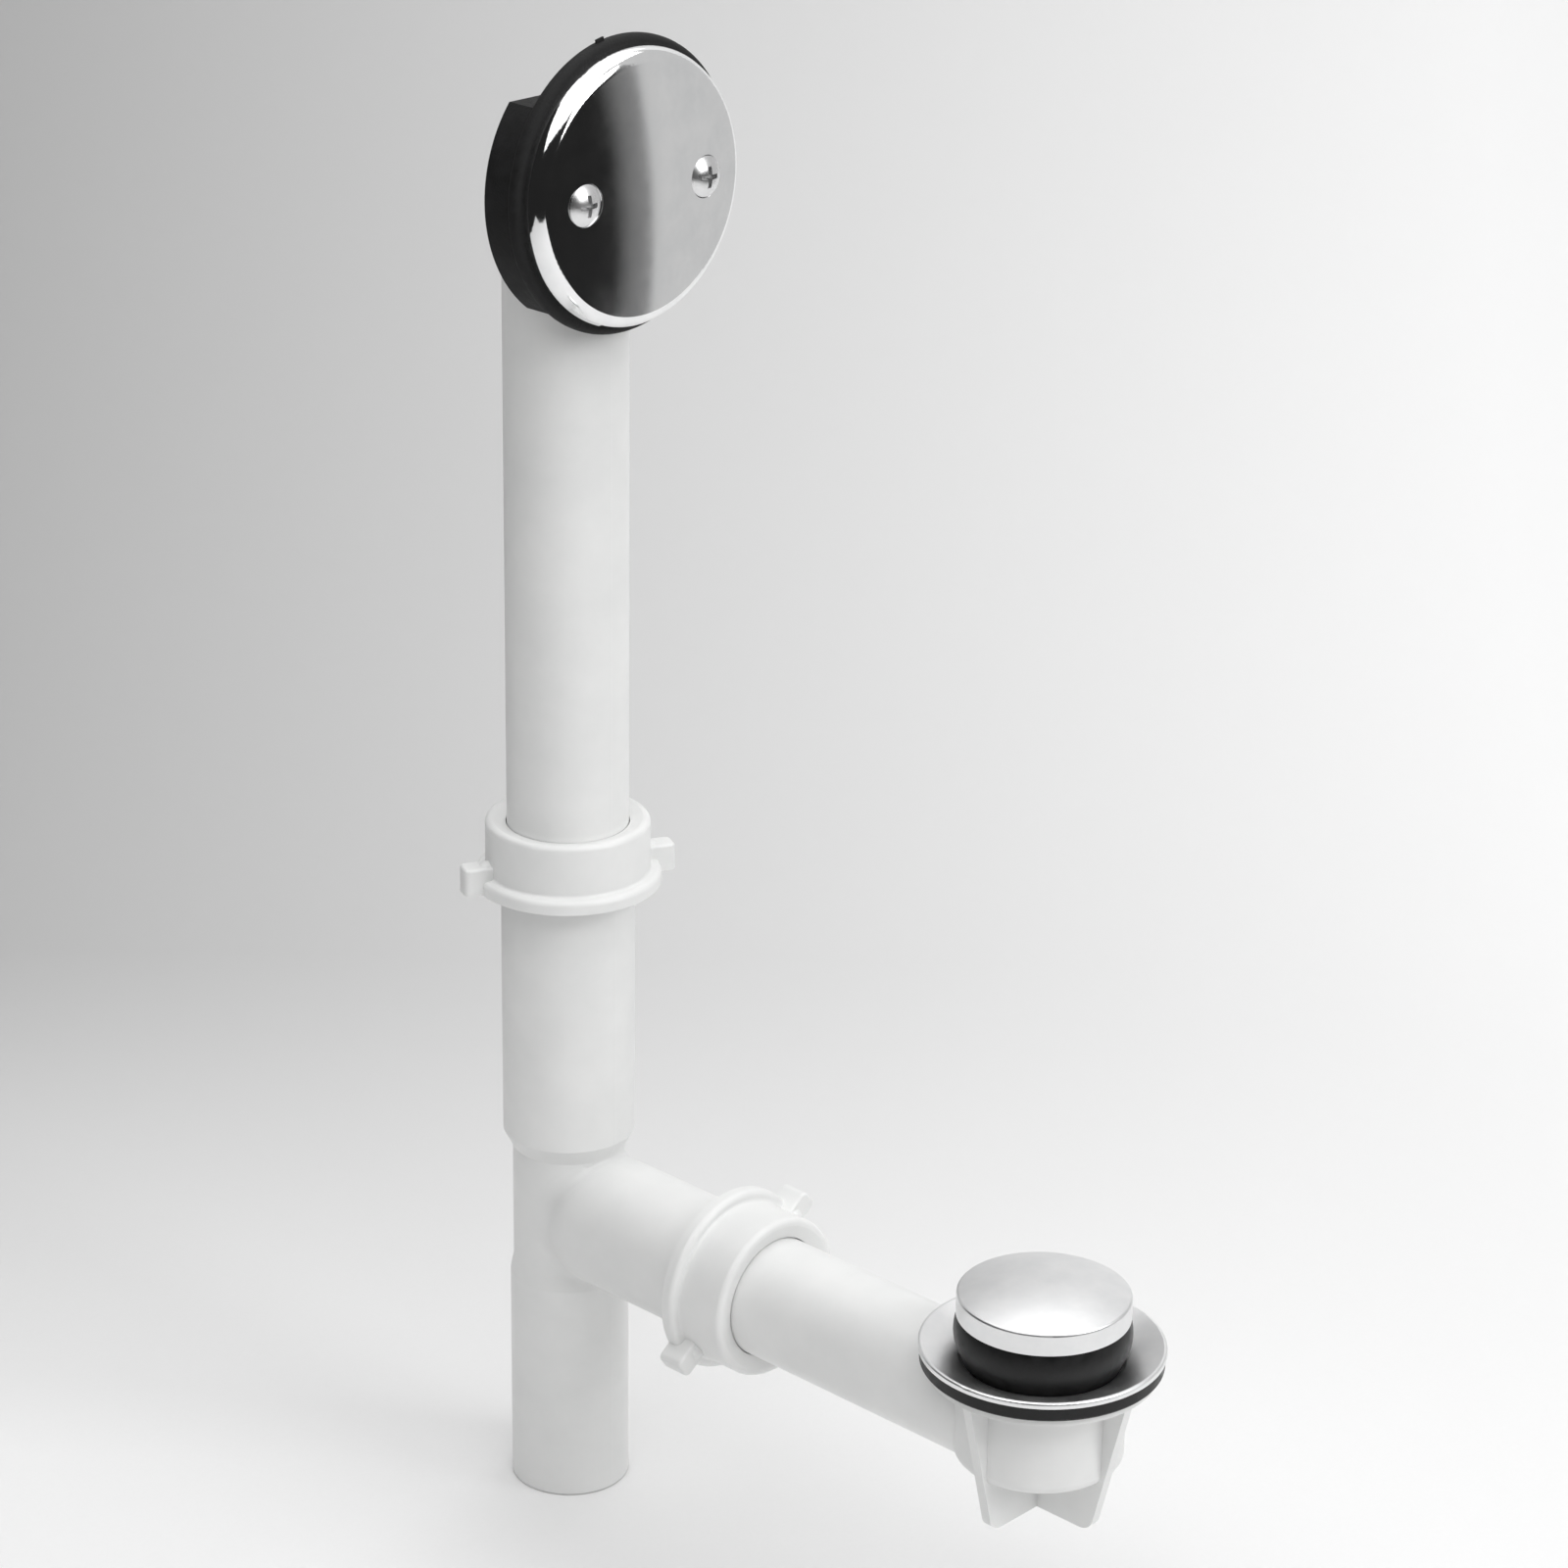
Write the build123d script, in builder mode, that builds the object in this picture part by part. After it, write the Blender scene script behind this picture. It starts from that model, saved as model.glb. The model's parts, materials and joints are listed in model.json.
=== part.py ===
from build123d import *
import os

os.makedirs("parts", exist_ok=True)

# Where the three arms of the drain lie, from the open end of the tail
branch_height = 97.4
overflow_height = 436.9
drain_reach = 199.0

# Thin-walled tube that the arms share, and the sockets that it slides in
tube_radius = 19.05
tube_wall = 1.9
slip_clearance = 0.15
socket_wall = 1.8
tube_bore = tube_radius - tube_wall
socket_bore = tube_radius + slip_clearance
socket_radius = socket_bore + socket_wall

# Tee: a plain tail, a slimmer middle and two sockets with threaded collars
tail_length = 74.0
tail_taper = 5.0
neck_radius = 18.0
neck_bore = neck_radius - tube_wall
shoulder_start = 119.3
shoulder_length = 5.7
branch_root_radius = 16.6
branch_blend = 20.0
branch_stop = 22.7
tube_stop = 3.0

# Winged slip nuts: lip, body and the ring that presses the washer
upper_nut_height = 210.2
side_nut_reach = 71.0
upper_wing_angle = 64.4
side_wing_angle = 35.4
nut_length = 21.2
nut_radius = 25.8
nut_lip_radius = 29.2
nut_lip_length = 4.4
nut_ring_length = 7.4
nut_ring_clearance = 0.3
nut_dish_radius = 23.4
nut_dish_depth = 1.2
nut_edge = 1.8
nut_dish_edge = 0.8
lip_round = 1.9
lip_root = 1.0
thread_radius = 23.6
thread_clearance = 0.2
collar_start = 0.8
collar_length = 11.6
wing_tip_radius = 34.6
wing_width = 7.4
wing_height = 8.6
wing_corner = 2.0
wing_edge = 0.9
knuckle_radius = 3.4
knuckle_offset = 0.8
knuckle_rise = 1.0

# Bevelled washer between the socket's mouth and the nut's ring
washer_clearance = 0.1
washer_bevel = 3.2
washer_rim = 0.9
washer_nose = 0.8

collar_end = collar_start + collar_length
nut_thread_radius = thread_radius + thread_clearance
nut_ring_bore = tube_radius + nut_ring_clearance
washer_bore = tube_radius + washer_clearance
washer_radius = thread_radius - washer_rim
washer_end = nut_length - nut_ring_length - washer_clearance

# Overflow tube and its elbow
overflow_tube_foot = 160.0
spigot_length = 12.0
spigot_wall = 1.8
spigot_fit = 0.1
elbow_radius = tube_radius
elbow_face = 21.4
elbow_flange = 4.0
elbow_flange_radius = 26.0
elbow_skirt = 1.0
elbow_foot = overflow_height - elbow_flange_radius - elbow_skirt
ear_width = 15.0
boss_radius = 5.4
boss_depth = 12.0

# Black sponge gasket behind the face plate: a ring and a flat-sided pad
gasket_ring_radius = 44.3
gasket_ring_depth = 4.6
gasket_pad_radius = 43.7
gasket_pad_depth = 9.2
gasket_pad_top = 27.9
gasket_pad_bottom = 34.1
gasket_edge = 2.0
gasket_hole = 18.4
gasket_fit = 0.3
nub_angle = 101.5
nub_width = 3.0
nub_height = 1.0
gasket_front = elbow_face + gasket_ring_depth

# Chrome face plate and its two screws
plate_radius = 41.4
plate_bend = 4.6
plate_dome_rise = 2.7
plate_depth = 9.0
plate_wall = 1.2
inlet_half_width = 15.0
inlet_height = 8.8
inlet_depth = 4.6
screw_spacing = 49.0
screw_radius = 2.9
screw_clearance = 0.25
screw_head_radius = 6.2
screw_head_seat = 7.9
screw_cone = 3.0
screw_crown = 2.1
screw_end_gap = 1.5
recess_span = 6.6
recess_width = 1.5
recess_depth = 1.9
recess_taper = 8
insert_wall = 1.4
insert_length = 10.0
insert_clearance = 0.1
screw_length = screw_head_seat + gasket_ring_depth + insert_length - screw_end_gap

# Drain shoe: tube, cup, lip and the crossed fins under them
shoe_tube_start = 42.0
lip_rise = 20.2
lip_thickness = 2.4
lip_radius = 34.2
cup_radius = 25.2
cup_drop = 10.9
cup_floor = 3.0
fin_thickness = 3.2
fin_drop = 27.6
fin_foot_radius = 21.8
fin_corner = 5.0
fin_inset = 1.0
cup_round = 3.0
lip_top = branch_height + lip_rise
cup_foot = branch_height - cup_drop
fin_foot = branch_height - fin_drop

# Chrome drain flange that screws into the cup
drain_thread_radius = 20.6
drain_bore = 18.4
drain_depth = 15.8
flange_radius = 36.5
flange_thickness = 1.8
flange_flat = 1.0
dish_hole_radius = 24.8
dish_depth = 4.3
dish_wall = 1.6
throat_depth = 6.4
bar_width = 4.0
bar_height = 6.0
hub_radius = 10.6
flange_edge = 0.7
cup_mouth_chamfer = 4.6
drain_foot = lip_top - drain_depth

# Shoe gasket under the flange
shoe_gasket_thickness = 4.4
shoe_gasket_radius = 36.0
shoe_gasket_hole = 28.0
shoe_gasket_edge = 0.8
gasket_top = lip_top + shoe_gasket_thickness
flange_top = gasket_top + flange_thickness

# Stopper, drawn shut: cap, seal, retainer and lock nut
stopper_lift = 9.5
cap_radius = 25.7
cap_stand = 9.4
cap_skirt_height = 6.7
cap_rise = 3.4
cap_wall = 1.5
cap_recess_depth = 2.8
cap_edge_round = 0.9
cap_skirt_foot = flange_top + cap_stand
cap_edge_height = cap_skirt_foot + cap_skirt_height
cap_recess_radius = cap_radius - cap_wall
cap_recess_roof = cap_skirt_foot + cap_recess_depth
seal_fit = 0.1
seal_top_inset = 0.5
seal_bulge = 0.6
seal_bulge_drop = 5.2
seal_lip = 0.4
seal_lip_drop = 1.2
seal_foot_inset = 1.2
seal_bulge_radius = cap_radius + seal_bulge
seal_bulge_height = cap_skirt_foot - seal_bulge_drop
seal_lip_radius = dish_hole_radius + seal_lip
seal_lip_height = flange_top - seal_lip_drop
seal_foot_radius = dish_hole_radius - seal_foot_inset
seal_seat_gap = 0.4
seal_wall = 4.2
seal_web = 5.4
retainer_radius = 17.0
retainer_thickness = 2.6
lock_nut_across = 9.0
lock_nut_height = 2.4

# Push mechanism in its barrel: rod, index ring, spring and guide bush
rod_radius = 3.2
rod_thread_length = 4.0
spigot_radius = 2.4
barrel_radius = 8.0
barrel_bore = 7.0
barrel_drop = 10.0
barrel_floor = 2.5
barrel_rise = 1.2
barrel_foot = drain_foot - barrel_drop
barrel_top = flange_top + barrel_rise
barrel_fit = 0.1
bush_length = 3.6
guide_fit = 0.25
stop_gap = 0.3
rib_count = 4
rib_width = 2.2
rib_reach = 0.9
rod_collar_length = 3.0
index_length = 4.5
index_tooth_width = 3.4
spring_wire = 0.9
spring_turns = 5
spring_radius = 4.6

branch_plane = Plane(origin=(0, 0, branch_height), x_dir=(1, 0, 0), z_dir=(0, -1, 0))
branch_axis = Axis((0, 0, branch_height), (1, 0, 0))
drain_plane = Plane(origin=(drain_reach, 0, 0), x_dir=(1, 0, 0), z_dir=(0, -1, 0))
drain_axis = Axis((drain_reach, 0, 0), (0, 0, 1))
upper_joint = Plane((0, 0, upper_nut_height)).rotated((0, 0, upper_wing_angle))
side_wing_line = Vector(0, 1, 0).rotate(Axis.X, side_wing_angle)
side_joint = Plane((side_nut_reach, 0, branch_height), x_dir=side_wing_line, z_dir=(1, 0, 0))

with BuildPart() as slip_nut:
    with BuildSketch():
        Circle(nut_lip_radius)
    extrude(amount=nut_lip_length)
    with BuildSketch():
        Circle(nut_radius)
    extrude(amount=nut_length)
    lip_rims = slip_nut.edges().filter_by(GeomType.CIRCLE).group_by(Axis.Z)[1].sort_by(SortBy.RADIUS)
    fillet(lip_rims[-1], radius=lip_round)
    fillet(lip_rims[0], radius=lip_root)
    fillet(slip_nut.edges().group_by(Axis.Z)[-1], radius=nut_edge)
    with BuildSketch() as wings:
        with PolarLocations(wing_tip_radius / 2, 2):
            Rectangle(wing_tip_radius, wing_width)
        fillet(wings.vertices(), radius=wing_corner)
    extrude(amount=wing_height)
    wing_tops = slip_nut.faces().filter_by(Axis.Z)
    wing_tops = wing_tops.filter_by_position(Axis.Z, wing_height - wing_edge, wing_height + wing_edge)
    wing_level = Vector(0, 0, wing_height)
    wing_rims = [
        edge
        for top in wing_tops
        for edge in top.edges()
        if (edge @ 0.5 - wing_level).length > nut_radius + wing_edge
    ]
    fillet(wing_rims, radius=wing_edge)
    with Locations((0, 0, wing_height + knuckle_rise - knuckle_radius)):
        with PolarLocations(nut_radius + knuckle_offset, 2):
            Sphere(knuckle_radius)
    with BuildSketch(Plane.XZ):
        with BuildLine():
            Polyline(
                (0, 0),
                (nut_thread_radius, 0),
                (nut_thread_radius, nut_length - nut_ring_length),
                (nut_ring_bore, nut_length - nut_ring_length),
                (nut_ring_bore, nut_length - nut_dish_depth),
                (nut_dish_radius, nut_length),
                (0, nut_length),
                close=True,
            )
        make_face()
    revolve(axis=Axis.Z, mode=Mode.SUBTRACT)
    dish_rim = slip_nut.edges().filter_by(GeomType.CIRCLE).group_by(Axis.Z)[-1].sort_by(SortBy.RADIUS)[0]
    fillet(dish_rim, radius=nut_dish_edge)

with BuildPart(upper_joint) as upper_slip_nut:
    add(slip_nut.part)
upper_slip_nut.part.label = "upper_slip_nut"
export_step(upper_slip_nut.part, "parts/upper_slip_nut.step")

with BuildPart(side_joint) as side_slip_nut:
    add(slip_nut.part)
side_slip_nut.part.label = "side_slip_nut"
export_step(side_slip_nut.part, "parts/side_slip_nut.step")

with BuildPart() as slip_washer:
    with BuildSketch(Plane.XZ):
        with BuildLine():
            Polyline(
                (washer_bore, collar_end - washer_bevel + washer_nose),
                (washer_bore + washer_nose, collar_end - washer_bevel + washer_nose),
                (socket_bore + washer_bevel, collar_end + washer_clearance),
                (washer_radius, collar_end + washer_clearance),
                (washer_radius, washer_end),
                (washer_bore, washer_end),
                close=True,
            )
        make_face()
    revolve(axis=Axis.Z)

with BuildPart(upper_joint) as upper_slip_washer:
    add(slip_washer.part)
upper_slip_washer.part.label = "upper_slip_washer"
export_step(upper_slip_washer.part, "parts/upper_slip_washer.step")

with BuildPart(side_joint) as side_slip_washer:
    add(slip_washer.part)
side_slip_washer.part.label = "side_slip_washer"
export_step(side_slip_washer.part, "parts/side_slip_washer.step")

with BuildPart() as waste_tee:
    upper_mouth = upper_nut_height + collar_end
    upper_collar = upper_nut_height + collar_start
    side_mouth = side_nut_reach + collar_end
    side_collar = side_nut_reach + collar_start
    collar_step = thread_radius - socket_radius
    with BuildSketch(Plane.XZ):
        with BuildLine():
            Polyline(
                (0, 0),
                (tube_radius, 0),
                (tube_radius, tail_length),
                (neck_radius, tail_length + tail_taper),
                (neck_radius, shoulder_start),
                (socket_radius, shoulder_start + shoulder_length),
                (socket_radius, upper_collar - collar_step),
                (thread_radius, upper_collar),
                (thread_radius, upper_mouth),
                (0, upper_mouth),
                close=True,
            )
        make_face()
    revolve(axis=Axis.Z)
    with BuildSketch(branch_plane):
        with BuildLine():
            blend_middle = (branch_blend / 2, (branch_root_radius + socket_radius) / 2)
            Line((0, 0), (0, branch_root_radius))
            TangentArc((0, branch_root_radius), blend_middle, tangent=(1, 0))
            TangentArc((branch_blend, socket_radius), blend_middle, tangent=(-1, 0))
            Polyline(
                (branch_blend, socket_radius),
                (side_collar - collar_step, socket_radius),
                (side_collar, thread_radius),
                (side_mouth, thread_radius),
                (side_mouth, 0),
                (0, 0),
            )
        make_face()
    revolve(axis=branch_axis)
    with BuildSketch(Plane.XZ):
        with BuildLine():
            Polyline(
                (0, 0),
                (tube_bore, 0),
                (tube_bore, tail_length),
                (neck_bore, tail_length + tail_taper),
                (neck_bore, shoulder_start + shoulder_length),
                (socket_bore, shoulder_start + shoulder_length + tube_stop),
                (socket_bore, upper_mouth - washer_bevel),
                (socket_bore + washer_bevel, upper_mouth),
                (0, upper_mouth),
                close=True,
            )
        make_face()
    revolve(axis=Axis.Z, mode=Mode.SUBTRACT)
    with BuildSketch(branch_plane):
        with BuildLine():
            Polyline(
                (0, 0),
                (0, neck_bore),
                (branch_stop, neck_bore),
                (branch_stop + tube_stop, socket_bore),
                (side_mouth - washer_bevel, socket_bore),
                (side_mouth, socket_bore + washer_bevel),
                (side_mouth, 0),
                close=True,
            )
        make_face()
    revolve(axis=branch_axis, mode=Mode.SUBTRACT)
waste_tee.part.label = "waste_tee"
export_step(waste_tee.part, "parts/waste_tee.step")

with BuildPart() as overflow_tube:
    with BuildSketch(Plane((0, 0, overflow_tube_foot))):
        Circle(tube_radius)
        Circle(tube_bore, mode=Mode.SUBTRACT)
    extrude(amount=elbow_foot - overflow_tube_foot)
overflow_tube.part.label = "overflow_tube"
export_step(overflow_tube.part, "parts/overflow_tube.step")

screw_sides = (-screw_spacing / 2, screw_spacing / 2)
screw_places = [(side, 0) for side in screw_sides]
plate_front = gasket_front + plate_depth
screw_seat = gasket_front + screw_head_seat
elbow_mouth_plane = Plane((elbow_face, 0, overflow_height), x_dir=(0, 1, 0), z_dir=(1, 0, 0))
plate_plane = elbow_mouth_plane.offset(gasket_ring_depth)
screw_planes = [Plane((screw_seat, side, overflow_height), (1, 0, 0), (0, -1, 0)) for side in screw_sides]

with BuildPart() as overflow_elbow:
    with BuildSketch(Plane((0, 0, elbow_foot))):
        Circle(elbow_radius)
    extrude(amount=overflow_height - elbow_foot)
    with BuildSketch(Plane((0, 0, elbow_foot))):
        Circle(tube_bore - spigot_fit)
    extrude(amount=-spigot_length)
    with Locations((0, 0, overflow_height)):
        Sphere(elbow_radius)
    with BuildSketch(elbow_mouth_plane):
        Circle(elbow_radius)
    extrude(amount=-elbow_face)
    with BuildSketch(elbow_mouth_plane):
        Circle(elbow_flange_radius)
        SlotCenterToCenter(screw_spacing, ear_width)
    extrude(amount=-elbow_flange)
    with BuildSketch(elbow_mouth_plane):
        with Locations(*screw_places):
            Circle(boss_radius)
    extrude(amount=-boss_depth - elbow_flange)
    with BuildSketch(Plane((0, 0, elbow_foot - spigot_length))):
        Circle(tube_bore - spigot_fit - spigot_wall)
    extrude(amount=overflow_height - elbow_foot + spigot_length, mode=Mode.SUBTRACT)
    with Locations((0, 0, overflow_height)):
        Sphere(tube_bore, mode=Mode.SUBTRACT)
    with BuildSketch(elbow_mouth_plane):
        Circle(tube_bore)
    extrude(amount=-elbow_face, mode=Mode.SUBTRACT)
    insert_radius = screw_radius + insert_wall
    with BuildSketch(elbow_mouth_plane):
        with Locations(*screw_places):
            Circle(insert_radius + insert_clearance)
    extrude(amount=-insert_length, mode=Mode.SUBTRACT)
overflow_elbow.part.label = "overflow_elbow"
export_step(overflow_elbow.part, "parts/overflow_elbow.step")

with BuildPart() as screw_inserts:
    with BuildSketch(elbow_mouth_plane):
        with Locations(*screw_places):
            Circle(insert_radius)
            Circle(screw_radius + insert_clearance, mode=Mode.SUBTRACT)
    extrude(amount=-insert_length)
screw_inserts.part.label = "screw_inserts"
export_step(screw_inserts.part, "parts/screw_inserts.step")

with BuildPart() as overflow_gasket:
    with BuildSketch(elbow_mouth_plane):
        Circle(gasket_ring_radius)
    extrude(amount=gasket_ring_depth)
    fillet(overflow_gasket.edges().filter_by(GeomType.CIRCLE), radius=gasket_edge)
    with BuildSketch(elbow_mouth_plane.offset(gasket_edge)):
        Circle(gasket_pad_radius)
        with Locations((0, (gasket_pad_top - gasket_pad_bottom) / 2)):
            Rectangle(gasket_pad_radius * 2, gasket_pad_top + gasket_pad_bottom, mode=Mode.INTERSECT)
    extrude(amount=-gasket_pad_depth - gasket_edge)
    with BuildSketch(elbow_mouth_plane):
        Circle(elbow_flange_radius + gasket_fit)
        SlotCenterToCenter(screw_spacing, ear_width + gasket_fit * 2)
        with Locations((0, -gasket_ring_radius / 2)):
            Rectangle((elbow_radius + gasket_fit) * 2, gasket_ring_radius)
    extrude(amount=-gasket_pad_depth, mode=Mode.SUBTRACT)
    with BuildSketch(elbow_mouth_plane.offset(gasket_edge)):
        with PolarLocations(gasket_ring_radius, 1, start_angle=nub_angle):
            Rectangle(nub_height * 2, nub_width)
    extrude(amount=gasket_ring_depth - gasket_edge * 2)
    with BuildSketch(elbow_mouth_plane):
        Circle(gasket_hole)
        with Locations(*screw_places):
            Circle(screw_radius + screw_clearance)
    extrude(amount=gasket_ring_depth, mode=Mode.SUBTRACT)
overflow_gasket.part.label = "overflow_gasket"
export_step(overflow_gasket.part, "parts/overflow_gasket.step")

dome_radius = (plate_radius**2 + plate_dome_rise**2) / (2 * plate_dome_rise)
with BuildPart() as overflow_faceplate:
    with BuildSketch(plate_plane):
        Circle(plate_radius)
    extrude(amount=plate_depth)
    with Locations((plate_front - dome_radius, 0, overflow_height)):
        Sphere(dome_radius, rotation=(0, 0, 180), mode=Mode.INTERSECT)
    rim_edge = overflow_faceplate.edges().filter_by(GeomType.CIRCLE).sort_by(Axis.X)[-1]
    fillet(rim_edge, radius=plate_bend)
    offset(amount=-plate_wall, openings=overflow_faceplate.faces().sort_by(Axis.X)[0])
    with BuildSketch(plate_plane):
        with Locations((0, -plate_radius)):
            Rectangle(inlet_half_width * 2, inlet_height)
    extrude(amount=inlet_depth, mode=Mode.SUBTRACT)
    for screw_plane in screw_planes:
        with BuildSketch(screw_plane):
            with BuildLine():
                Polyline(
                    (-plate_depth, 0),
                    (-plate_depth, screw_radius + screw_clearance),
                    (-screw_cone, screw_radius + screw_clearance),
                    (0, screw_head_radius + screw_clearance),
                    (plate_depth, screw_head_radius + screw_clearance),
                    (plate_depth, 0),
                    close=True,
                )
            make_face()
        revolve(axis=Axis(screw_plane.origin, (1, 0, 0)), mode=Mode.SUBTRACT)
overflow_faceplate.part.label = "overflow_faceplate"
export_step(overflow_faceplate.part, "parts/overflow_faceplate.step")

with BuildPart() as faceplate_screws:
    for screw_plane in screw_planes:
        with BuildSketch(screw_plane):
            with BuildLine():
                Line((-screw_length, 0), (-screw_length, screw_radius))
                Line((-screw_length, screw_radius), (-screw_cone, screw_radius))
                Line((-screw_cone, screw_radius), (0, screw_head_radius))
                TangentArc((screw_crown, 0), (0, screw_head_radius), tangent=(0, 1))
                Line((screw_crown, 0), (-screw_length, 0))
            make_face()
        revolve(axis=Axis(screw_plane.origin, (1, 0, 0)))
    with BuildSketch(plate_plane.offset(screw_head_seat + screw_crown)):
        with Locations(*screw_places):
            Rectangle(recess_span, recess_width)
            Rectangle(recess_width, recess_span)
    extrude(amount=-recess_depth, taper=recess_taper, mode=Mode.SUBTRACT)
faceplate_screws.part.label = "faceplate_screws"
export_step(faceplate_screws.part, "parts/faceplate_screws.step")

cup_bore = drain_thread_radius + thread_clearance
with BuildPart() as waste_shoe:
    with BuildSketch(Plane(origin=(shoe_tube_start, 0, branch_height), z_dir=(1, 0, 0))):
        Circle(tube_radius)
    extrude(amount=drain_reach - shoe_tube_start)
    with Locations((drain_reach, 0, branch_height)):
        Sphere(tube_radius)
    with BuildSketch(drain_plane):
        with BuildLine() as cup_outline:
            Polyline((0, lip_top), (0, cup_foot), (cup_radius, cup_foot), (cup_radius, lip_top), (0, lip_top))
            fillet(cup_outline.vertices().sort_by_distance((cup_radius, cup_foot))[0], radius=cup_round)
        make_face()
    revolve(axis=drain_axis)
    with BuildSketch(Plane((drain_reach, 0, lip_top))):
        Circle(lip_radius)
    extrude(amount=-lip_thickness)
    fin_top = lip_top - lip_thickness
    fin_reach = lip_radius - fin_inset
    with BuildSketch(drain_plane) as front_fin:
        with BuildLine():
            Polyline(
                (0, fin_foot),
                (fin_foot_radius, fin_foot),
                (fin_reach, fin_top),
                (0, fin_top),
                close=True,
            )
        make_face()
        fillet(front_fin.vertices().sort_by_distance((fin_foot_radius, fin_foot))[0], fin_corner)
    extrude(amount=fin_thickness / 2, both=True)
    with BuildSketch(drain_plane) as back_fin:
        with BuildLine():
            Polyline(
                (0, fin_foot),
                (-fin_foot_radius, fin_foot),
                (-cup_radius, branch_height),
                (0, branch_height),
                close=True,
            )
        make_face()
        fillet(back_fin.vertices().sort_by_distance((-fin_foot_radius, fin_foot))[0], fin_corner)
    extrude(amount=fin_thickness / 2, both=True)
    with BuildSketch(Plane((drain_reach, 0, 0), x_dir=(0, 1, 0), z_dir=(1, 0, 0))) as side_fins:
        with BuildLine():
            Polyline(
                (-fin_foot_radius, fin_foot),
                (fin_foot_radius, fin_foot),
                (fin_reach, fin_top),
                (-fin_reach, fin_top),
                close=True,
            )
        make_face()
        fillet(side_fins.vertices().group_by(Axis.Y)[0], fin_corner)
    extrude(amount=fin_thickness / 2, both=True)
    with BuildSketch(Plane(origin=(shoe_tube_start, 0, branch_height), z_dir=(1, 0, 0))):
        Circle(tube_bore)
    extrude(amount=drain_reach - shoe_tube_start, mode=Mode.SUBTRACT)
    with Locations((drain_reach, 0, branch_height)):
        Sphere(tube_bore, mode=Mode.SUBTRACT)
    with BuildSketch(drain_plane):
        with BuildLine():
            Polyline(
                (0, cup_foot + cup_floor),
                (cup_bore, cup_foot + cup_floor),
                (cup_bore, lip_top - cup_mouth_chamfer),
                (cup_bore + cup_mouth_chamfer, lip_top),
                (0, lip_top),
                close=True,
            )
        make_face()
    revolve(axis=drain_axis, mode=Mode.SUBTRACT)
waste_shoe.part.label = "waste_shoe"
export_step(waste_shoe.part, "parts/waste_shoe.step")

dish_edge_radius = flange_radius - flange_flat
dish_hole_height = flange_top - dish_depth
throat_slope = throat_depth / (dish_hole_radius - drain_bore)
bowl_foot = dish_hole_height - dish_wall - (dish_hole_radius - drain_thread_radius) * throat_slope
with BuildPart() as drain_flange:
    with BuildSketch(drain_plane):
        with BuildLine():
            Polyline(
                (drain_bore, drain_foot),
                (drain_thread_radius, drain_foot),
                (drain_thread_radius, bowl_foot),
                (dish_hole_radius, dish_hole_height - dish_wall),
                (dish_edge_radius, gasket_top),
                (flange_radius, gasket_top),
                (flange_radius, flange_top),
                (dish_edge_radius, flange_top),
                (dish_hole_radius, dish_hole_height),
                (drain_bore, dish_hole_height - throat_depth),
                close=True,
            )
        make_face()
    revolve(axis=drain_axis)
    rim_edge = drain_flange.edges().filter_by(GeomType.CIRCLE).group_by(Axis.Z)[-1].sort_by(SortBy.RADIUS)[-1]
    fillet(rim_edge, radius=flange_edge)
    with BuildSketch(Plane((drain_reach, 0, drain_foot))):
        Circle(drain_bore + flange_edge)
        Circle(drain_bore, mode=Mode.SUBTRACT)
        Circle(hub_radius)
        Rectangle(drain_bore * 2, bar_width)
        Rectangle(bar_width, drain_bore * 2)
        Circle(barrel_radius + barrel_fit, mode=Mode.SUBTRACT)
    extrude(amount=bar_height)
drain_flange.part.label = "drain_flange"
export_step(drain_flange.part, "parts/drain_flange.step")

with BuildPart() as shoe_gasket:
    seat_slope = (gasket_top - dish_hole_height + dish_wall) / (dish_edge_radius - dish_hole_radius)
    seat_foot = gasket_top - (dish_edge_radius - shoe_gasket_hole) * seat_slope - seal_fit
    with BuildSketch(drain_plane):
        with BuildLine():
            Polyline(
                (shoe_gasket_hole, lip_top),
                (shoe_gasket_radius, lip_top),
                (shoe_gasket_radius, gasket_top),
                (dish_edge_radius + seal_fit, gasket_top),
                (shoe_gasket_hole, seat_foot),
                close=True,
            )
        make_face()
    revolve(axis=drain_axis)
    lower_rim = shoe_gasket.edges().filter_by(GeomType.CIRCLE).group_by(Axis.Z)[0].sort_by(SortBy.RADIUS)[-1]
    fillet(lower_rim, radius=shoe_gasket_edge)
shoe_gasket.part.label = "shoe_gasket"
export_step(shoe_gasket.part, "parts/shoe_gasket.step")

rod_top = cap_recess_roof + rod_thread_length
with BuildPart() as stopper_cap:
    with BuildSketch(drain_plane):
        with BuildLine() as cap_outline:
            Polyline(
                (0, cap_edge_height + cap_rise),
                (0, rod_top + seal_fit),
                (rod_radius + seal_fit, rod_top + seal_fit),
                (rod_radius + seal_fit, cap_recess_roof),
                (cap_recess_radius, cap_recess_roof),
                (cap_recess_radius, cap_skirt_foot),
                (cap_radius, cap_skirt_foot),
                (cap_radius, cap_edge_height),
            )
            cap_crown = (0, cap_edge_height + cap_rise)
            TangentArc(cap_crown, (cap_radius, cap_edge_height), tangent=(1, 0))
            cap_corner = cap_outline.vertices().sort_by_distance((cap_radius, cap_edge_height))[0]
            fillet(cap_corner, radius=cap_edge_round)
        make_face()
    revolve(axis=drain_axis)
stopper_cap.part.label = "stopper_cap"
export_step(stopper_cap.part, "parts/stopper_cap.step")

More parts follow.
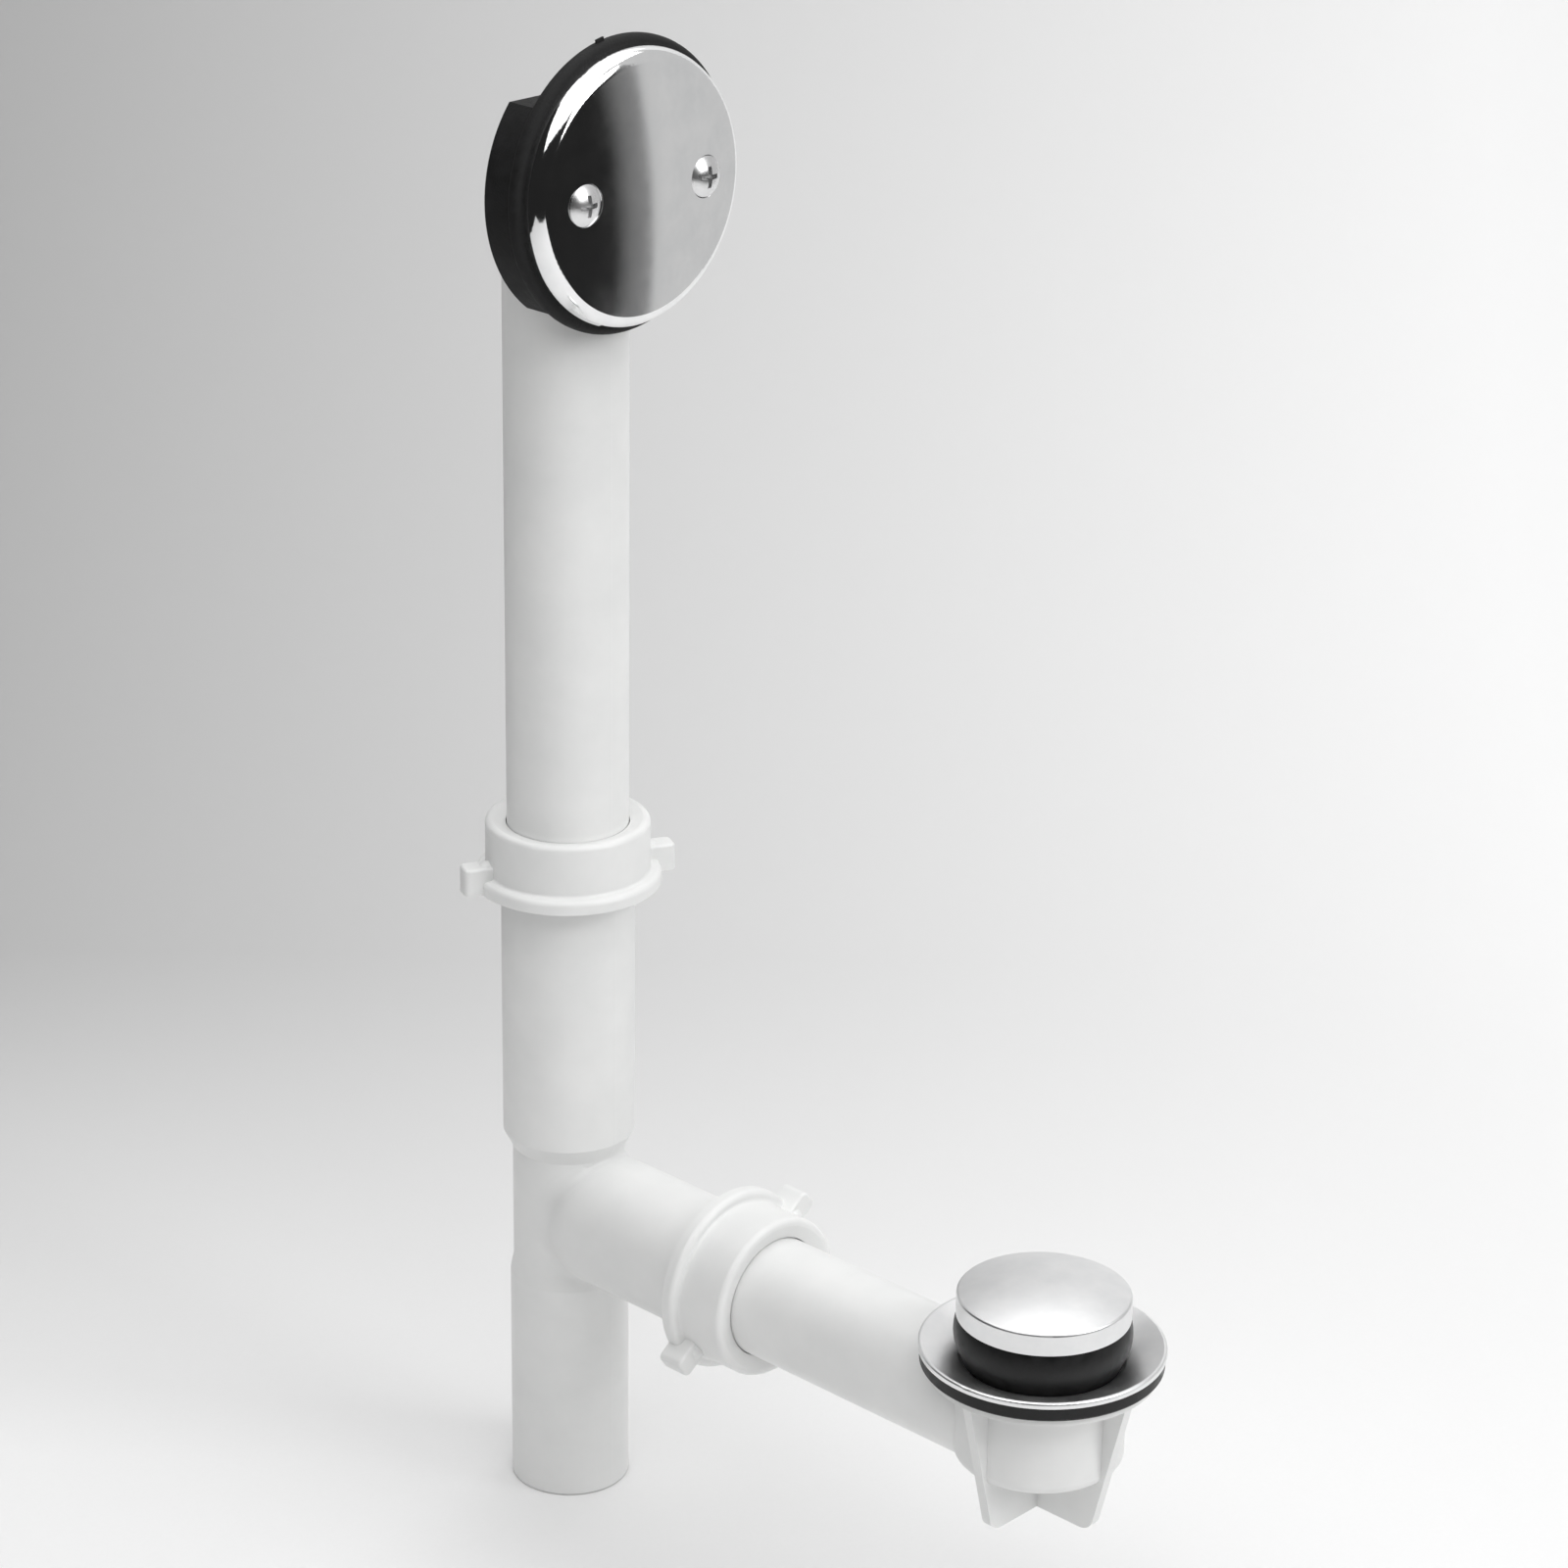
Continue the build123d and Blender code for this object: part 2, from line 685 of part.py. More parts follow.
seal_top = cap_recess_roof - seal_fit
seal_web_foot = seal_top - seal_web
with BuildPart() as stopper_seal:
    seal_foot = dish_hole_height - (dish_hole_radius - seal_foot_radius) * throat_slope + seal_seat_gap
    with BuildSketch(drain_plane):
        with BuildLine():
            Polyline(
                (seal_lip_radius, seal_lip_height),
                (seal_foot_radius, seal_foot),
                (seal_foot_radius - seal_wall / 2, seal_foot),
                (seal_bulge_radius - seal_wall, seal_bulge_height),
                (retainer_radius + seal_wall / 2, seal_web_foot),
                (rod_radius + seal_fit, seal_web_foot),
                (rod_radius + seal_fit, seal_top),
                (cap_recess_radius - seal_fit, seal_top),
                (cap_recess_radius - seal_fit, cap_skirt_foot - seal_fit),
                (cap_radius - seal_top_inset, cap_skirt_foot - seal_fit),
            )
            ThreePointArc(
                (cap_radius - seal_top_inset, cap_skirt_foot - seal_fit),
                (seal_bulge_radius, seal_bulge_height),
                (seal_lip_radius, seal_lip_height),
            )
        make_face()
    revolve(axis=drain_axis)
stopper_seal.part.label = "stopper_seal"
export_step(stopper_seal.part, "parts/stopper_seal.step")

retainer_top = seal_web_foot - seal_fit
with BuildPart() as seal_retainer:
    with BuildSketch(Plane((drain_reach, 0, retainer_top))):
        Circle(retainer_radius)
        Circle(rod_radius + seal_fit, mode=Mode.SUBTRACT)
    extrude(amount=-retainer_thickness)
    retainer_rim = seal_retainer.edges().group_by(Axis.Z)[0].sort_by(SortBy.RADIUS)[-1]
    chamfer(retainer_rim, length=retainer_thickness / 2)
seal_retainer.part.label = "seal_retainer"
export_step(seal_retainer.part, "parts/seal_retainer.step")

lock_nut_top = retainer_top - retainer_thickness
with BuildPart() as rod_lock_nut:
    with BuildSketch(Plane((drain_reach, 0, lock_nut_top))):
        RegularPolygon(lock_nut_across / 2, 6, major_radius=False)
        Circle(rod_radius + seal_fit, mode=Mode.SUBTRACT)
    extrude(amount=-lock_nut_height)
rod_lock_nut.part.label = "rod_lock_nut"
export_step(rod_lock_nut.part, "parts/rod_lock_nut.step")

collar_top = barrel_top - bush_length - stopper_lift - stop_gap
index_top = collar_top - rod_collar_length
index_foot = index_top - index_length
guide_radius = barrel_bore - rib_reach - guide_fit
with BuildPart() as stopper_rod:
    with BuildSketch(drain_plane):
        with BuildLine():
            Polyline(
                (0, index_foot),
                (spigot_radius, index_foot),
                (spigot_radius, index_top),
                (guide_radius, index_top),
                (guide_radius, collar_top),
                (rod_radius, collar_top),
                (rod_radius, rod_top),
                (0, rod_top),
                close=True,
            )
        make_face()
    revolve(axis=drain_axis)
stopper_rod.part.label = "stopper_rod"
export_step(stopper_rod.part, "parts/stopper_rod.step")

with BuildPart() as index_ring:
    with BuildSketch(Plane((drain_reach, 0, index_foot))):
        Circle(guide_radius)
        with PolarLocations((spigot_radius + barrel_bore - guide_fit) / 2, rib_count):
            Rectangle(barrel_bore - guide_fit - spigot_radius, index_tooth_width)
        Circle(spigot_radius + barrel_fit, mode=Mode.SUBTRACT)
    extrude(amount=index_length)
index_ring.part.label = "index_ring"
export_step(index_ring.part, "parts/index_ring.step")

with BuildPart() as push_barrel:
    with BuildSketch(Plane((drain_reach, 0, barrel_foot))):
        Circle(barrel_radius)
    extrude(amount=barrel_top - barrel_foot)
    with BuildSketch(Plane((drain_reach, 0, barrel_foot + barrel_floor))):
        Circle(barrel_bore)
    extrude(amount=barrel_top - barrel_foot, mode=Mode.SUBTRACT)
    with BuildSketch(Plane((drain_reach, 0, collar_top + stop_gap))):
        with PolarLocations(barrel_bore - rib_reach / 2, rib_count, start_angle=180 / rib_count):
            Rectangle(rib_reach + barrel_fit, rib_width)
    extrude(amount=stopper_lift)
push_barrel.part.label = "push_barrel"
export_step(push_barrel.part, "parts/push_barrel.step")

with BuildPart() as guide_bush:
    with BuildSketch(Plane((drain_reach, 0, barrel_top))):
        Circle(barrel_bore - barrel_fit)
        Circle(rod_radius + guide_fit, mode=Mode.SUBTRACT)
    extrude(amount=barrel_fit - bush_length)
guide_bush.part.label = "guide_bush"
export_step(guide_bush.part, "parts/guide_bush.step")

with BuildPart() as stopper_spring:
    spring_foot = barrel_foot + barrel_floor + spring_wire / 2 + barrel_fit
    spring_height = index_foot - spring_wire / 2 - barrel_fit - spring_foot
    with BuildLine(Plane((drain_reach, 0, spring_foot))) as coil:
        Helix(spring_height / spring_turns, spring_height, spring_radius)
    with BuildSketch(Plane(coil.line @ 0, z_dir=coil.line % 0)):
        Circle(spring_wire / 2)
    sweep()
stopper_spring.part.label = "stopper_spring"
export_step(stopper_spring.part, "parts/stopper_spring.step")
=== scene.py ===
# %% [markdown]
# A bath waste and overflow: a chrome overflow plate at the top of an upright
# tube, a tee with winged slip nuts, and a finned shoe that carries the drain
# and its push stopper. The CAD solids already have the shapes, so this script
# loads them as a fixed frame and spends its work on one moulded curve, the
# finishes and the light.

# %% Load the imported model
import json
import math

import bmesh
import bpy
from mathutils import Matrix, Vector


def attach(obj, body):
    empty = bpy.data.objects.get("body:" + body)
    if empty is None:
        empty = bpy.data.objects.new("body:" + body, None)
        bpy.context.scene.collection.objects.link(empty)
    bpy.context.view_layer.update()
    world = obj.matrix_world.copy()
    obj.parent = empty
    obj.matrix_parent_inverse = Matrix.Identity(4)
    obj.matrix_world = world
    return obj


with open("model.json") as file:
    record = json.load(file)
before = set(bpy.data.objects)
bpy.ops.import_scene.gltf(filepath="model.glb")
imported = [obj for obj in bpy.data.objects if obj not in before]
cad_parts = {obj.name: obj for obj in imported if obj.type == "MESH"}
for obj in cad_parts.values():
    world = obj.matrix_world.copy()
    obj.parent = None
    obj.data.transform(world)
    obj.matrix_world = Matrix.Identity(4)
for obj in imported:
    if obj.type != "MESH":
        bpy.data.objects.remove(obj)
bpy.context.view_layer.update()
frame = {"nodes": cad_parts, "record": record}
nodes = frame["nodes"]

# %% [markdown]
# The camera stands where the photograph was taken from: a little above the
# overflow plate, looking down past it at the drain. Its place comes from
# fitting the known sizes of the solids to the picture. A Track To constraint
# could aim it, but the fitted camera also rolls a little, so its three
# directions are worked out from yaw, pitch and roll.

# %% Camera directions
CAMERA_YAW, CAMERA_PITCH, CAMERA_ROLL = 2.325, -0.383, 0.015

ahead = Vector((
    math.cos(CAMERA_PITCH) * math.cos(CAMERA_YAW),
    math.cos(CAMERA_PITCH) * math.sin(CAMERA_YAW),
    math.sin(CAMERA_PITCH),
))
level_right = ahead.cross(Vector((0, 0, 1))).normalized()
level_up = level_right.cross(ahead)
right = level_right * math.cos(CAMERA_ROLL) + level_up * math.sin(CAMERA_ROLL)
up = level_up * math.cos(CAMERA_ROLL) - level_right * math.sin(CAMERA_ROLL)
print("the camera looks along", [round(part, 3) for part in ahead])

# %% [markdown]
# A long lens keeps the upright tube almost parallel to the frame. Blender
# wants its focal length in millimetres for a given sensor, so the length that
# was fitted in pixels is scaled by the sensor's width. The Standard view
# keeps whites and greys as they are written.

# %% Camera
IMAGE_SIZE = 1600
SENSOR_WIDTH = 36.0
FOCAL_PIXELS = 4626.987
CAMERA_PLACE = Vector((0.94175, -0.90445, 0.76860))

camera_data = bpy.data.cameras.new("camera")
camera_data.sensor_width = SENSOR_WIDTH
camera_data.lens = FOCAL_PIXELS * SENSOR_WIDTH / IMAGE_SIZE
camera = bpy.data.objects.new("camera", camera_data)
camera.matrix_world = Matrix.Translation(CAMERA_PLACE) @ Matrix(
    (right, up, -ahead)).transposed().to_4x4()
bpy.context.scene.collection.objects.link(camera)
bpy.context.scene.camera = camera
bpy.context.scene.view_settings.view_transform = "Standard"
print("lens in mm:", round(camera_data.lens, 2))

# %% [markdown]
# A material here is a small tree of nodes. This helper starts one with a
# Principled shader and gives back the tree, the shader and the Object
# coordinates that every pattern reads. Those are metres, so a noise scale of
# 1000 means features about a millimetre wide.

# %% Start a finish
def start_finish(name):
    finish = bpy.data.materials.new(name)
    finish.use_nodes = True
    tree = finish.node_tree
    tree.nodes.clear()
    output = tree.nodes.new("ShaderNodeOutputMaterial")
    shader = tree.nodes.new("ShaderNodeBsdfPrincipled")
    tree.links.new(shader.outputs["BSDF"], output.inputs["Surface"])
    place = tree.nodes.new("ShaderNodeTexCoord").outputs["Object"]
    return finish, tree, shader, place


print("made the helper that starts a finish")

# %% [markdown]
# The next helpers each add one node and give back its output, so that every
# finish below reads as a recipe. The noise is the pattern itself, and the
# range turns it into a number such as a roughness.

# %% Noise and range
def add_noise(tree, place, scale, detail=3.0, roughness=0.5):
    noise = tree.nodes.new("ShaderNodeTexNoise")
    noise.inputs["Scale"].default_value = scale
    noise.inputs["Detail"].default_value = detail
    noise.inputs["Roughness"].default_value = roughness
    tree.links.new(place, noise.inputs["Vector"])
    return noise.outputs["Fac"]


def add_range(tree, value, low, high, start=0.3, end=0.7):
    spread = tree.nodes.new("ShaderNodeMapRange")
    spread.inputs["From Min"].default_value = start
    spread.inputs["From Max"].default_value = end
    spread.inputs["To Min"].default_value = low
    spread.inputs["To Max"].default_value = high
    tree.links.new(value, spread.inputs["Value"])
    return spread.outputs["Result"]


print("made the helpers for noise and range")

# %% [markdown]
# The tint turns the pattern into a colour between a dark and a light one. The
# bump turns it into relief of a real depth, in metres, and can lie on top of
# another bump. Relief this shallow needs no geometry, because it never shows
# in the outline.

# %% Tint and bump
def add_tint(tree, value, dark, light, start=0.3, end=0.7):
    ramp = tree.nodes.new("ShaderNodeValToRGB")
    ramp.color_ramp.elements[0].position = start
    ramp.color_ramp.elements[0].color = (*dark, 1)
    ramp.color_ramp.elements[1].position = end
    ramp.color_ramp.elements[1].color = (*light, 1)
    tree.links.new(value, ramp.inputs["Fac"])
    return ramp.outputs["Color"]


def add_bump(tree, height, depth, under=None):
    bump = tree.nodes.new("ShaderNodeBump")
    bump.inputs["Strength"].default_value = 1.0
    bump.inputs["Distance"].default_value = depth
    tree.links.new(height, bump.inputs["Height"])
    if under is not None:
        tree.links.new(under, bump.inputs["Normal"])
    return bump.outputs["Normal"]


print("made the helpers for tint and bump")

# %% [markdown]
# The tee, nuts, tubes and shoe are moulded white PVC. Real PVC is never one
# flat white: the melt leaves faint cloudy flow marks, the walls wave a little,
# the mould gives a fine satin skin, and handling leaves patches that are a
# little glossier. One noise at its own scale does each of these. A picture of
# plastic could be wrapped round the tubes instead, but it would need seams,
# and noise in Object coordinates has none.

# %% White PVC
def make_white_pvc(name, dark, light, skin_depth):
    finish, tree, shader, place = start_finish(name)
    clouds = add_noise(tree, place, scale=38.0, detail=4.0, roughness=0.55)
    skin = add_noise(tree, place, scale=1600.0, detail=2.0)
    handling = add_noise(tree, place, scale=120.0, detail=3.0)
    waves = add_noise(tree, place, scale=70.0, detail=1.0)
    tree.links.new(add_tint(tree, clouds, dark, light),
                   shader.inputs["Base Color"])
    tree.links.new(add_range(tree, handling, low=0.30, high=0.42),
                   shader.inputs["Roughness"])
    waviness = add_bump(tree, waves, depth=0.00006)
    tree.links.new(add_bump(tree, skin, skin_depth, waviness),
                   shader.inputs["Normal"])
    shader.inputs["IOR"].default_value = 1.53
    return finish


white_pvc = make_white_pvc(
    "white_pvc", dark=(0.78, 0.785, 0.78), light=(0.84, 0.842, 0.835),
    skin_depth=0.000008)
print("made", white_pvc.name)

# %% [markdown]
# The gasket behind the overflow plate is cut from closed-cell sponge rubber,
# so its cut edge shows tiny open cells. The shoe gasket and the stopper's
# seal are moulded solid and have a smoother, slightly greasy skin. One
# function makes both, with cells from a Voronoi texture. Cells could be
# modelled, but they are under a millimetre wide, so relief is enough.

# %% Black rubber
def make_black_rubber(name, cell_scale, cell_depth, rough_low, rough_high):
    finish, tree, shader, place = start_finish(name)
    dust = add_noise(tree, place, scale=260.0, detail=5.0, roughness=0.6)
    cells = tree.nodes.new("ShaderNodeTexVoronoi")
    cells.inputs["Scale"].default_value = cell_scale
    tree.links.new(place, cells.inputs["Vector"])
    tree.links.new(add_tint(tree, dust, dark=(0.006, 0.006, 0.006),
                            light=(0.014, 0.014, 0.0145)),
                   shader.inputs["Base Color"])
    tree.links.new(add_range(tree, dust, rough_low, rough_high),
                   shader.inputs["Roughness"])
    tree.links.new(add_bump(tree, cells.outputs["Distance"], cell_depth),
                   shader.inputs["Normal"])
    shader.inputs["IOR"].default_value = 1.5
    shader.inputs["Specular IOR Level"].default_value = 0.3
    return finish


sponge_rubber = make_black_rubber(
    "sponge_rubber", cell_scale=1500.0, cell_depth=0.00008,
    rough_low=0.6, rough_high=0.8)
moulded_rubber = make_black_rubber(
    "moulded_rubber", cell_scale=2600.0, cell_depth=0.00001,
    rough_low=0.3, rough_high=0.5)
print("made", sponge_rubber.name, "and", moulded_rubber.name)

# %% [markdown]
# The plate, the screws, the flange and the stopper's cap are chrome over
# metal. Chrome takes its look from what it reflects, so the colour could be
# left as one pale grey. The material only adds what keeps real plating from
# being a perfect mirror: a slight orange-peel and patches of fine haze.

# %% Bright metal
def make_bright_metal(name, dark, light, rough_low, rough_high, peel_depth):
    finish, tree, shader, place = start_finish(name)
    haze = add_noise(tree, place, scale=90.0, detail=4.0, roughness=0.6)
    peel = add_noise(tree, place, scale=240.0, detail=1.0)
    tree.links.new(add_tint(tree, haze, dark, light),
                   shader.inputs["Base Color"])
    tree.links.new(add_range(tree, haze, rough_low, rough_high),
                   shader.inputs["Roughness"])
    tree.links.new(add_bump(tree, peel, peel_depth), shader.inputs["Normal"])
    shader.inputs["Metallic"].default_value = 1.0
    return finish


print("made the helper for bright metal")

# %% [markdown]
# The plate is the mirror of the set. The drain fittings have a satin plating
# and the screws are plated in a barrel, so both are softer. Brass shows under
# the stopper when it is up, and the spring is plain steel wire. One table
# holds all the recipes, because they differ only in their numbers.

# %% Chrome, brass and steel
METALS = {
    # dark tint, light tint, least roughness, most roughness, depth of peel
    "chrome": (
        (0.80, 0.805, 0.81), (0.88, 0.88, 0.88), 0.06, 0.10, 0.0000015),
    "cap_chrome": (
        (0.78, 0.785, 0.79), (0.86, 0.86, 0.86), 0.31, 0.37, 0.000004),
    "flange_chrome": (
        (0.80, 0.805, 0.81), (0.87, 0.87, 0.87), 0.30, 0.38, 0.000004),
    "screw_chrome": (
        (0.66, 0.66, 0.665), (0.80, 0.80, 0.80), 0.24, 0.34, 0.000010),
    "brass": (
        (0.60, 0.44, 0.20), (0.74, 0.56, 0.28), 0.24, 0.40, 0.00001),
    "spring_steel": (
        (0.42, 0.42, 0.43), (0.58, 0.58, 0.58), 0.22, 0.38, 0.00001),
}
metal = {name: make_bright_metal(name, *recipe)
         for name, recipe in METALS.items()}
print("made", ", ".join(metal))

# %% [markdown]
# Inside the stopper are small acetal parts, and under each slip nut is a
# soft polyethylene washer. They show only when the part is taken apart or
# opened, but they get the same kind of satin moulded skin, in a creamier
# white for the acetal and a milkier one for the washers.

# %% Inner plastics
mechanism_plastic = make_white_pvc(
    "mechanism_plastic", dark=(0.66, 0.65, 0.60), light=(0.74, 0.73, 0.68),
    skin_depth=0.000006)
washer_plastic = make_white_pvc(
    "washer_plastic", dark=(0.70, 0.72, 0.73), light=(0.78, 0.79, 0.80),
    skin_depth=0.000010)
print("made", mechanism_plastic.name, "and", washer_plastic.name)

# %% [markdown]
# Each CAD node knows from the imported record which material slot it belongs
# to. Assigning the finish to the object's own slots leaves the mesh alone.
# A few nodes differ from the rest of their slot: the sponge gasket among the
# rubber parts, and the softer chrome of the drain and the screws.

# %% Dress the CAD nodes
finish_of_slot = {
    "white_pvc": white_pvc,
    "black_rubber": moulded_rubber,
    "chrome": metal["chrome"],
    "brass": metal["brass"],
    "spring_steel": metal["spring_steel"],
    "mechanism_plastic": mechanism_plastic,
    "washer_plastic": washer_plastic,
}
finish_of_node = {
    "overflow_gasket": sponge_rubber,
    "stopper_cap": metal["cap_chrome"],
    "drain_flange": metal["flange_chrome"],
    "faceplate_screws": metal["screw_chrome"],
}
slot_of_node = {entry["node"]: entry["material_slot"]
                for entry in frame["record"]["subparts"]}
for node_name, node in nodes.items():
    finish = finish_of_node.get(
        node_name, finish_of_slot[slot_of_node[node_name]])
    for material_slot in node.material_slots:
        material_slot.material = finish
print("dressed", len(nodes), "nodes")

# %% [markdown]
# On the real tee the branch grows out of the neck in a soft moulded curve,
# widest at the sides and tighter under the shoulder and at the foot. The two
# solids meet there in a crease, so a piece of its own fills it. A bevel of
# the CAD mesh would change that mesh, so the curve is laid over it, and it
# needs to know both surfaces. First comes the neck: how wide it is at each
# height, between the socket above and the tail below.

# %% The neck as measured
MM = 0.001
NECK_RADIUS, NECK_FOOT, NECK_TOP = 18.0 * MM, 79.0 * MM, 119.3 * MM
TAIL_RADIUS, TAIL_TOP = 19.05 * MM, 74.0 * MM
SOCKET_RADIUS, SOCKET_FOOT = 21.0 * MM, 125.0 * MM


def span(value, start, end):
    return min(max((value - start) / (end - start), 0.0), 1.0)


def neck_radius(height):
    to_socket = span(height, NECK_TOP, SOCKET_FOOT)
    to_tail = span(height, NECK_FOOT, TAIL_TOP)
    return (NECK_RADIUS
            + (SOCKET_RADIUS - NECK_RADIUS) * to_socket
            + (TAIL_RADIUS - NECK_RADIUS) * to_tail)


def neck_place(bearing, height):
    radius = neck_radius(height)
    return Vector((
        radius * math.cos(bearing), radius * math.sin(bearing), height))


print("neck radius at its middle in mm:",
      round(neck_radius((NECK_FOOT + NECK_TOP) / 2) / MM, 2))

# %% [markdown]
# The branch starts narrower than its socket and swells to it along two arcs,
# one hollow and one full, that meet half way with the same slope.

# %% The branch as measured
BRANCH_HEIGHT = 97.4 * MM
BRANCH_ROOT, BRANCH_RADIUS, BRANCH_RUN = 16.6 * MM, 21.0 * MM, 20.0 * MM


def branch_radius(reach):
    half_run, half_rise = BRANCH_RUN / 2, (BRANCH_RADIUS - BRANCH_ROOT) / 2
    arc = (half_run ** 2 + half_rise ** 2) / (2 * half_rise)
    if reach <= half_run:
        return BRANCH_ROOT + arc - math.sqrt(arc ** 2 - reach ** 2)
    left = max(BRANCH_RUN - reach, 0.0)
    return BRANCH_RADIUS - arc + math.sqrt(arc ** 2 - left ** 2)


def branch_place(turn, reach):
    radius = branch_radius(reach)
    return Vector((reach, radius * math.sin(turn),
                   BRANCH_HEIGHT + radius * math.cos(turn)))


print("branch radius half way in mm:",
      round(branch_radius(BRANCH_RUN / 2) / MM, 2))

# %% [markdown]
# The crease is where the two surfaces meet, and no operator gives its points
# without cutting the CAD mesh. For each turn round the branch, halving a span
# finds how far out the branch leaves the neck.

# %% The crease
HALVINGS = 40


def crease_reach(turn):
    near, far = 0.0, BRANCH_RUN + 2 * MM
    for _ in range(HALVINGS):
        reach = (near + far) / 2
        place = branch_place(turn, reach)
        if math.hypot(place.x, place.y) < neck_radius(place.z):
            near = reach
        else:
            far = reach
    return reach


print("crease reach at top and side in mm:",
      round(crease_reach(0.0) / MM, 2),
      round(crease_reach(math.pi / 2) / MM, 2))

# %% [markdown]
# For no line to show where the curve starts, it has to leave both surfaces
# along their own tangents. These two helpers give the way out of each
# surface, from how fast its radius changes over a very small step.

# %% The way out of each surface
SURFACE_STEP = 0.02 * MM


def neck_normal(bearing, height):
    slope = (neck_radius(height + SURFACE_STEP)
             - neck_radius(height - SURFACE_STEP)) / (2 * SURFACE_STEP)
    return Vector(
        (math.cos(bearing), math.sin(bearing), -slope)).normalized()


def branch_normal(turn, reach):
    slope = (branch_radius(reach + SURFACE_STEP)
             - branch_radius(reach - SURFACE_STEP)) / (2 * SURFACE_STEP)
    return Vector((-slope, math.sin(turn), math.cos(turn))).normalized()


print("branch normal at the top:",
      [round(part, 3) for part in branch_normal(0.0, BRANCH_RUN / 2)])

# %% [markdown]
# One column of the curve runs across the crease. It starts on the neck, ends
# on the branch, and bends round a middle point that lies in the tangent
# planes of both, as a three-point Bezier curve does. Its two ends are sunk by
# a hair so that they don't flicker against the solids, and one last point
# deep in the wall closes the strip.

# %% One column of the crotch
ACROSS = 10
LEAST_WIDTH, SIDE_WIDTH, UPPER_LEAN = 2.2, 2.8, 0.6
SUNK_DEPTH = 0.8 * MM


def crotch_column(turn):
    reach = crease_reach(turn)
    crease = branch_place(turn, reach)
    width = (LEAST_WIDTH + SIDE_WIDTH * math.sin(turn) ** 2
             * (1 + UPPER_LEAN * math.cos(turn))) * MM
    round_neck = NECK_RADIUS * math.atan2(crease.y, crease.x)
    rise = crease.z - BRANCH_HEIGHT
    grow = 1 + width / math.hypot(round_neck, rise)
    bearing = round_neck * grow / NECK_RADIUS
    height = BRANCH_HEIGHT + rise * grow
    start = neck_place(bearing, height)
    end = branch_place(turn, reach + width)
    start_out = neck_normal(bearing, height)
    end_out = branch_normal(turn, reach + width)
    lean = start_out.dot(end_out)
    start_lift = (start - crease).dot(start_out)
    end_lift = (end - crease).dot(end_out)
    middle = crease + (
        start_out * (start_lift - end_lift * lean)
        + end_out * (end_lift - start_lift * lean)) / (1 - lean ** 2)
    column = []
    for step in range(ACROSS + 1):
        s = step / ACROSS
        column.append(start * (1 - s) ** 2
                      + middle * 2 * s * (1 - s) + end * s ** 2)
    column[0] = column[0] - start_out * SURFACE_STEP
    column[-1] = column[-1] - end_out * SURFACE_STEP
    column.append(crease - (start_out + end_out).normalized() * SUNK_DEPTH)
    return column


print("points in a column:", len(crotch_column(0.0)))

# %% [markdown]
# Points that share a place in their columns make a row round the branch, and
# bridge_loops joins each row to the next, the last one to the first. The two
# rows that lie on the solids are marked sharp, because the strip turns back
# into the wall there and smooth shading would smear round that turn.

# %% Tee crotch
AROUND = 120

columns = [crotch_column(2 * math.pi * step / AROUND)
           for step in range(AROUND)]
crotch_mesh = bmesh.new()
rows = []
for places in zip(*columns):
    corners = [crotch_mesh.verts.new(place) for place in places]
    rows.append([crotch_mesh.edges.new(pair)
                 for pair in zip(corners, corners[1:] + corners[:1])])
for row, next_row in zip(rows, rows[1:] + rows[:1]):
    bmesh.ops.bridge_loops(crotch_mesh, edges=row + next_row)
for face in crotch_mesh.faces:
    face.smooth = True
for edge in rows[0] + rows[ACROSS]:
    edge.smooth = False
bmesh.ops.recalc_face_normals(crotch_mesh, faces=crotch_mesh.faces)
crotch_data = bpy.data.meshes.new("tee_crotch")
crotch_mesh.to_mesh(crotch_data)
crotch_mesh.free()
tee_crotch = bpy.data.objects.new("tee_crotch", crotch_data)
bpy.context.scene.collection.objects.link(tee_crotch)
crotch_data.materials.append(white_pvc)
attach(tee_crotch, "tee")
print("crotch faces:", len(crotch_data.polygons))

# %% [markdown]
# The object stands on white paper that curves up behind it. A floor and a
# wall as two planes would show a line between them, so the paper is a single
# line swept sideways: three vertices give the floor, the corner and the top
# of the wall, and a bevel of the corner makes the soft bend.

# %% Paper sweep
PAPER_FRONT, PAPER_BACK, PAPER_TOP = 1.25, 0.95, 2.6
PAPER_HALF_WIDTH = 0.85
PAPER_BEND = 0.62
FLOOR_GAP = 0.0004

level_ahead = Vector((ahead.x, ahead.y, 0)).normalized()
below = Vector((0, 0, FLOOR_GAP))
paper_mesh = bmesh.new()
line = [
    paper_mesh.verts.new(-level_ahead * PAPER_FRONT - below),
    paper_mesh.verts.new(level_ahead * PAPER_BACK - below),
    paper_mesh.verts.new(
        level_ahead * PAPER_BACK + Vector((0, 0, PAPER_TOP))),
]
edges = [paper_mesh.edges.new(pair) for pair in zip(line, line[1:])]
bmesh.ops.translate(
    paper_mesh, verts=line, vec=-level_right * PAPER_HALF_WIDTH)
swept = bmesh.ops.extrude_edge_only(paper_mesh, edges=edges)["geom"]
bmesh.ops.translate(
    paper_mesh, verts=[v for v in swept if isinstance(v, bmesh.types.BMVert)],
    vec=level_right * PAPER_HALF_WIDTH * 2)
corner = [e for e in paper_mesh.edges if len(e.link_faces) == 2]
bmesh.ops.bevel(
    paper_mesh, geom=corner, offset=PAPER_BEND, offset_type="OFFSET",
    segments=32, profile=0.5, affect="EDGES", material=-1)
print("paper faces:", len(paper_mesh.faces))
